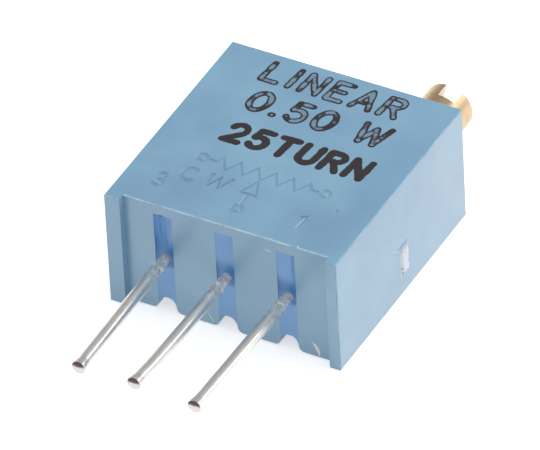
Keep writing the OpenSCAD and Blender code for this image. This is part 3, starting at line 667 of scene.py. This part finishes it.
bpy.ops.object.select_all(action="DESELECT")
bpy.ops.mesh.primitive_grid_add(x_subdivisions=18, y_subdivisions=80, size=1)
finger = bpy.context.object
bpy.ops.object.mode_set(mode="EDIT")
bpy.ops.mesh.select_all(action="SELECT")
bpy.ops.mesh.extrude_region_move(TRANSFORM_OT_translate={"value": (0, 0, 1)})
bpy.ops.object.mode_set(mode="OBJECT")
fingers = []
for x0, reach, depth in finger_pulls:
    copy = bpy.data.objects.new("finger", finger.data.copy())
    bpy.context.scene.collection.objects.link(copy)
    drawn = copy.data.attributes.new("drawn", "FLOAT", "POINT")
    for vertex in copy.data.vertices:
        u, v, behind = vertex.co.x * 2, vertex.co.y + 0.5, vertex.co.z > 0.5
        low = pour_z + 0.02 * mm - 0.3 * mm * abs(u) ** 3
        z = low + v * (well_high.z - low)
        x = u * slot_half
        if behind:
            vertex.co = (x0 + x, well_y + 0.01 * mm if z < slot_end else 0.79 * mm, z)
        else:
            pull = math.exp(-(max(z - 0.3 * mm, 0) / reach) ** 2)
            pull *= min(max((z + 0.36 * mm) / (0.2 * mm), 0), 1)
            climb = math.exp(-(1 - abs(u)) * slot_half / (0.05 * mm))
            wet = math.exp(-max(math.hypot(x, z) - pin_root_r, 0) / (0.06 * mm))
            ripple = noise.noise(Vector(((x + x0) * 2500, 7.0, z * 900)))
            fold = math.exp(-((u + 0.1) / 0.2) ** 2) * min(max((z - 0.4 * mm) / mm, 0), 1) if x0 < 0 else 0
            sunk = depth * pull * (1 - 0.45 * u ** 2) - 0.02 * climb - 0.06 * wet
            sunk += 0.012 * ripple - 0.07 * fold
            vertex.co = (x0 + x, finger_y + sunk * mm, z)
            # Painted shade, kept in the drawn attribute: the hollow above each pin, the upper part of each
            # slot, the right edge of the middle and right slots and the left half of the left slot are
            # painted darker.
            upper_shade = min(max((z + 0.2 * mm) / (0.8 * mm), 0), 1)
            shaded = min(max((u - 0.5) / 0.2, 0), 1) * (0.75 if x0 > 0 else 0.25)
            side_shade = 0.1 + shaded if x0 >= 0 else 1.0 if u < -0.1 else 0.5
            drawn.data[vertex.index].value = max(pull * (0.8 + 0.2 * u), upper_shade * side_shade)
    take_up(copy)
    bpy.ops.object.mode_set(mode="EDIT")
    bpy.ops.mesh.select_all(action="SELECT")
    bpy.ops.mesh.normals_make_consistent(inside=False)
    bpy.ops.object.mode_set(mode="OBJECT")
    fingers.append(copy)
bpy.data.objects.remove(finger)
take_up(plate, *fingers)
bpy.ops.object.join()
bpy.ops.object.shade_smooth_by_angle(angle=math.radians(50))

# Epoxy, cast: smoother and deeper blue than the case, with painted shade in the hollows round the pins, over
# the upper part of each slot, along the right edge of the middle and right slots and on the left half of the
# left slot.
epoxy, tree = empty_material("cast_blue_epoxy")
at = add(tree, "ShaderNodeTexCoord", {}).outputs["Object"]
cloud = add(tree, "ShaderNodeTexNoise", {"Vector": at, "Scale": 0.9 / mm, "Detail": 3})
depth = add(tree, "ShaderNodeAttribute", {"attribute_name": "drawn"})
pale = add(tree, "ShaderNodeMix", {"data_type": "RGBA", 0: cloud.outputs["Fac"],
                                   6: linear("#6FA2DA"), 7: linear("#83B2E2")})
shade_depth = add(tree, "ShaderNodeMapRange", {"Value": depth.outputs["Fac"], "From Min": 0.0, "From Max": 0.95})
colour = add(tree, "ShaderNodeMix", {"data_type": "RGBA", 0: shade_depth.outputs[0],
                                     6: pale.outputs[2], 7: linear("#3F83C8")})
skin = add(tree, "ShaderNodeBsdfPrincipled", {"Base Color": colour.outputs[2], "Roughness": 0.25,
                                              "IOR": 1.55})
add(tree, "ShaderNodeOutputMaterial", {"Surface": skin.outputs[0]})
plate.data.materials.append(epoxy)
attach(plate, "case")
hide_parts("epoxy_seal")

# Ink print
# Three rows of slanted characters, stamped in thick ink on the flat of the face once the case is closed.
# The pad squeezes the ink out to the edges of each stroke and leaves its middle thin.
ink_thick = 0.006 * mm
ink_letters = {
    "L": (0.6, [[(0, 1), (0, 0)], [(0, 0), (0.58, 0)]]),
    "I": (0.12, [[(0.06, 1), (0.06, 0)]]),
    "N": (0.64, [[(0, 0), (0, 1)], [(0, 1), (0.62, 0)], [(0.62, 0), (0.62, 1)]]),
    "E": (0.58, [[(0, 1), (0, 0)], [(0, 1), (0.56, 1)], [(0, 0.52), (0.46, 0.52)], [(0, 0), (0.56, 0)]]),
    "A": (0.7, [[(0, 0), (0.35, 1)], [(0.35, 1), (0.7, 0)], [(0.12, 0.32), (0.58, 0.32)]]),
    "R": (0.62, [[(0, 0), (0, 1)], [(0, 1)] + arc(0.34, 0.76, 0.26, 0.24, 90, -90) + [(0, 0.52)],
                 [(0.3, 0.52), (0.62, 0)]]),
    "0": (0.66, [arc(0.33, 0.5, 0.33, 0.5, 90, 450, 30)]),
    ".": (0.1, [[(0.0, 0.02), (0.04, 0.02)]]),
    "5": (0.6, [[(0.08, 1), (0.56, 1)], [(0.08, 1), (0.04, 0.57)],
                [(0.04, 0.57)] + arc(0.27, 0.32, 0.31, 0.32, 115, -150, 20)]),
    "W": (0.96, [[(0, 1), (0.2, 0)], [(0.2, 0), (0.48, 0.85)], [(0.48, 0.85), (0.76, 0)],
                 [(0.76, 0), (0.96, 1)]]),
    "2": (0.6, [arc(0.3, 0.7, 0.29, 0.3, 165, -38, 16) + [(0, 0)], [(0, 0), (0.6, 0)]]),
    "T": (0.64, [[(0, 1), (0.64, 1)], [(0.32, 1), (0.32, 0)]]),
    "U": (0.62, [[(0, 1), (0, 0.31)] + arc(0.31, 0.31, 0.31, 0.31, 180, 360) + [(0.62, 1)]]),
    " ": (0.25, []),
}
ink_rows = (     # text, left end, foot, height and half width of the strokes, gap, thinness of their middle
    ("LINEAR", -2.8, 8.46, 1.04, 0.14, 0.43, 1.0),
    ("0.50 W", -2.56, 6.72, 1.06, 0.145, 0.42, 0.95),
    ("25TURN", -2.42, 4.75, 1.0, 0.155, 0.39, 0.4),
)
ink_slant = 0.1
ink_step = 0.06                                   # along a stroke, in mm
round_end = ((0.5, 0.87), (0.87, 0.5), (1.0, 0.05))   # how far out, and how wide, a stroke's rounded end is

strokes = []
for text, x, y, height, half, gap, thin in ink_rows:
    for character in text:
        width, runs = ink_letters[character]
        for run in runs:
            path = []
            for (u0, v0), (u1, v1) in zip(run, run[1:]):
                steps = max(1, round(math.hypot(u1 - u0, v1 - v0) * height / ink_step))
                path += [(u0 + (u1 - u0) * k / steps, v0 + (v1 - v0) * k / steps) for k in range(steps)]
            path.append(run[-1])
            path = [Vector((x + (u + ink_slant * v) * height, y + v * height, 0)) for u, v in path]
            swell = [1 + 0.16 * noise.noise(Vector((p.x * 3.1, p.y * 3.1, 6.0)))
                     + 0.1 * noise.noise(Vector((p.x * 11, p.y * 11, 2.0))) for p in path]
            if (path[0] - path[-1]).length > 0.01:
                for tip, inner, front in ((path[0], path[1], True), (path[-1], path[-2], False)):
                    out = (tip - inner).normalized() * half
                    for lift, share in round_end:
                        path.insert(0 if front else len(path), tip + out * lift)
                        swell.insert(0 if front else len(swell), share)
            stroke = rod([p * mm for p in path], half * mm, swell)
            hollow = stroke.data.attributes.new("hollow", "FLOAT", "POINT")
            for vertex in stroke.data.vertices:
                rise = min(abs(vertex.co.z) / (half * mm), 1)
                hollow.data[vertex.index].value = thin * (1 - math.sqrt(1 - rise * rise))
                vertex.co.z = face_z + vertex.co.z * ink_thick / (half * mm)
            strokes.append(stroke)
        x += width * height + gap
take_up(*strokes)
bpy.ops.object.join()
ink_print = bpy.context.object
ink_print.name = "ink_print"
bpy.ops.object.shade_smooth_by_angle(angle=math.radians(60))

# Printing ink, stamped: brown-black at the edges of the strokes, patchy and see-through in their middle.
ink, tree = empty_material("stamped_black_ink")
at = add(tree, "ShaderNodeTexCoord", {}).outputs["Object"]
patch = add(tree, "ShaderNodeTexNoise", {"Vector": at, "Scale": 1.5 / mm, "Detail": 5, "Roughness": 0.7})
middle = add(tree, "ShaderNodeAttribute", {"attribute_name": "hollow"})
starved = add(tree, "ShaderNodeMath", {"operation": "MULTIPLY_ADD", 0: patch.outputs["Fac"], 1: 0.9,
                                       2: middle.outputs["Fac"]})
thin = add(tree, "ShaderNodeMapRange", {"Value": starved.outputs[0], "From Min": 0.98, "From Max": 1.16,
                                        "To Max": 0.85})
colour = add(tree, "ShaderNodeMix", {"data_type": "RGBA", 0: thin.outputs[0],
                                     6: linear("#2A2225"), 7: linear("#7595AC")})
skin = add(tree, "ShaderNodeBsdfPrincipled", {"Base Color": colour.outputs[2], "Roughness": 0.5})
add(tree, "ShaderNodeOutputMaterial", {"Surface": skin.outputs[0]})
ink_print.data.materials.append(ink)
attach(ink_print, "case")

# Floor
# A plain white sheet that the part lies on, on its potted back.
floor_size = 1.2
floor_gap = 0.01 * mm
floor_lift = 0.58                                 # what the sheet adds where it is seen or mirrored
bpy.ops.object.select_all(action="DESELECT")
bpy.ops.mesh.primitive_plane_add(size=floor_size, location=(0, 0, case_low.z - floor_gap))
floor = bpy.context.object
floor.name = "floor"
bpy.ops.object.transform_apply(location=True, rotation=True, scale=True)
paper, tree = empty_material("white_paper")
seen = add(tree, "ShaderNodeLightPath", {})
mirrored = add(tree, "ShaderNodeMath", {"operation": "MAXIMUM", 0: seen.outputs["Is Glossy Ray"],
                                        1: seen.outputs["Is Transmission Ray"]})
shown = add(tree, "ShaderNodeMath", {"operation": "MAXIMUM", 0: seen.outputs["Is Camera Ray"],
                                     1: mirrored.outputs[0]})
lift = add(tree, "ShaderNodeMath", {"operation": "MULTIPLY", 0: shown.outputs[0], 1: floor_lift})
matt = add(tree, "ShaderNodeBsdfDiffuse", {"Color": linear("#EDEDED")})
glow = add(tree, "ShaderNodeEmission", {"Color": linear("#FFFFFF"), "Strength": lift.outputs[0]})
both = add(tree, "ShaderNodeAddShader", {0: matt.outputs[0], 1: glow.outputs[0]})
add(tree, "ShaderNodeOutputMaterial", {"Surface": both.outputs[0]})
floor.data.materials.append(paper)

# Light
# A white tent for the world, with a large soft box overhead. Only reflections show the grey card above and to
# the left, darkest along its near edge, and the bright white strip behind the part on the right.
scene = bpy.context.scene
world = bpy.data.worlds.new("white_tent")
scene.world = world
world.use_nodes = True
tree = world.node_tree
tree.nodes.clear()
seen = add(tree, "ShaderNodeLightPath", {})
either = add(tree, "ShaderNodeMath", {"operation": "MAXIMUM", 0: seen.outputs["Is Camera Ray"],
                                      1: seen.outputs["Is Glossy Ray"]})
shown = add(tree, "ShaderNodeMath", {"operation": "MAXIMUM", 0: either.outputs[0],
                                     1: seen.outputs["Is Transmission Ray"]})
tent = add(tree, "ShaderNodeBackground", {"Color": linear("#FFFFFF"), "Strength": 0.63})
white = add(tree, "ShaderNodeBackground", {"Color": linear("#FFFFFF"), "Strength": 1.0})
mixed = add(tree, "ShaderNodeMixShader", {0: shown.outputs[0], 1: tent.outputs[0], 2: white.outputs[0]})
add(tree, "ShaderNodeOutputWorld", {"Surface": mixed.outputs[0]})

box_place = Vector((0.05, 0.06, 0.15))
box_size, box_power = 0.11, 0.138
card_far, card_near = (-0.25, 0.03), (0.057, 0.067)   # x and z of its two long edges
card_w = 0.8
strip_place = Vector((0.6, 0.62, 0.5)) * 0.2
strip_size = 0.06
bpy.ops.object.light_add(type="AREA", location=box_place)
soft_box = bpy.context.object
soft_box.name = "soft_box"
soft_box.data.size = box_size
soft_box.data.energy = box_power
soft_box.rotation_euler = (-box_place).to_track_quat("-Z", "Y").to_euler()

bpy.ops.object.select_all(action="DESELECT")
bpy.ops.mesh.primitive_plane_add(size=1)
card = bpy.context.object
card.name = "grey_card"
for vertex in card.data.vertices:
    x, z = card_near if vertex.co.x > 0 else card_far
    vertex.co = (x, vertex.co.y * card_w, z)
grey, tree = empty_material("grey_card")
at = add(tree, "ShaderNodeTexCoord", {}).outputs["Object"]
across = add(tree, "ShaderNodeSeparateXYZ", {"Vector": at})
fade = add(tree, "ShaderNodeMapRange", {"Value": across.outputs["X"], "From Min": card_far[0],
                                        "From Max": card_near[0], "To Min": 1.0, "To Max": 0.12})
glow = add(tree, "ShaderNodeEmission", {"Color": linear("#FFFFFF"), "Strength": fade.outputs[0]})
add(tree, "ShaderNodeOutputMaterial", {"Surface": glow.outputs[0]})
card.data.materials.append(grey)

bpy.ops.object.select_all(action="DESELECT")
bpy.ops.mesh.primitive_plane_add(size=1)
strip = bpy.context.object
strip.name = "white_strip"
strip_turn = strip_place.to_track_quat("Z", "Y").to_matrix()
for vertex in strip.data.vertices:
    vertex.co = strip_place + strip_turn @ Vector((vertex.co.x * strip_size, vertex.co.y * strip_size, 0))
white, tree = empty_material("white_strip")
glow = add(tree, "ShaderNodeEmission", {"Color": linear("#FFFFFF"), "Strength": 3.6})
add(tree, "ShaderNodeOutputMaterial", {"Surface": glow.outputs[0]})
strip.data.materials.append(white)
for sheet in (card, strip):
    sheet.visible_camera = False
    sheet.visible_diffuse = False
    sheet.visible_shadow = False
    sheet.visible_transmission = False

# Camera
# A long lens from above the pins and to the right, turned a little, as the photograph was taken.
azimuth, elevation, roll = math.radians(30.0584), math.radians(39.1645), math.radians(-3.157)
distance = 404.1 * mm
aim_left, aim_down = 0.5966 * mm, 0.7511 * mm     # of the picture's middle from the middle of the case
focal_px, photo_w = 10974.0, 540
sensor_w = 36
back = Vector((math.sin(azimuth) * math.cos(elevation), -math.cos(azimuth) * math.cos(elevation),
               math.sin(elevation)))
level = Vector((0, 0, 1)).cross(back).normalized()
rise = back.cross(level)
right = math.cos(roll) * level + math.sin(roll) * rise
up = math.cos(roll) * rise - math.sin(roll) * level
aim = Vector((0, 5 * mm, 0)) - aim_left * right - aim_down * up
place = aim + back * distance
bpy.ops.object.camera_add()
camera = bpy.context.object
camera.matrix_world = Matrix((
    (right.x, up.x, back.x, place.x),
    (right.y, up.y, back.y, place.y),
    (right.z, up.z, back.z, place.z),
    (0, 0, 0, 1)))
camera.data.sensor_width = sensor_w
camera.data.lens = focal_px / photo_w * sensor_w
scene.camera = camera
scene.view_settings.view_transform = "Standard"
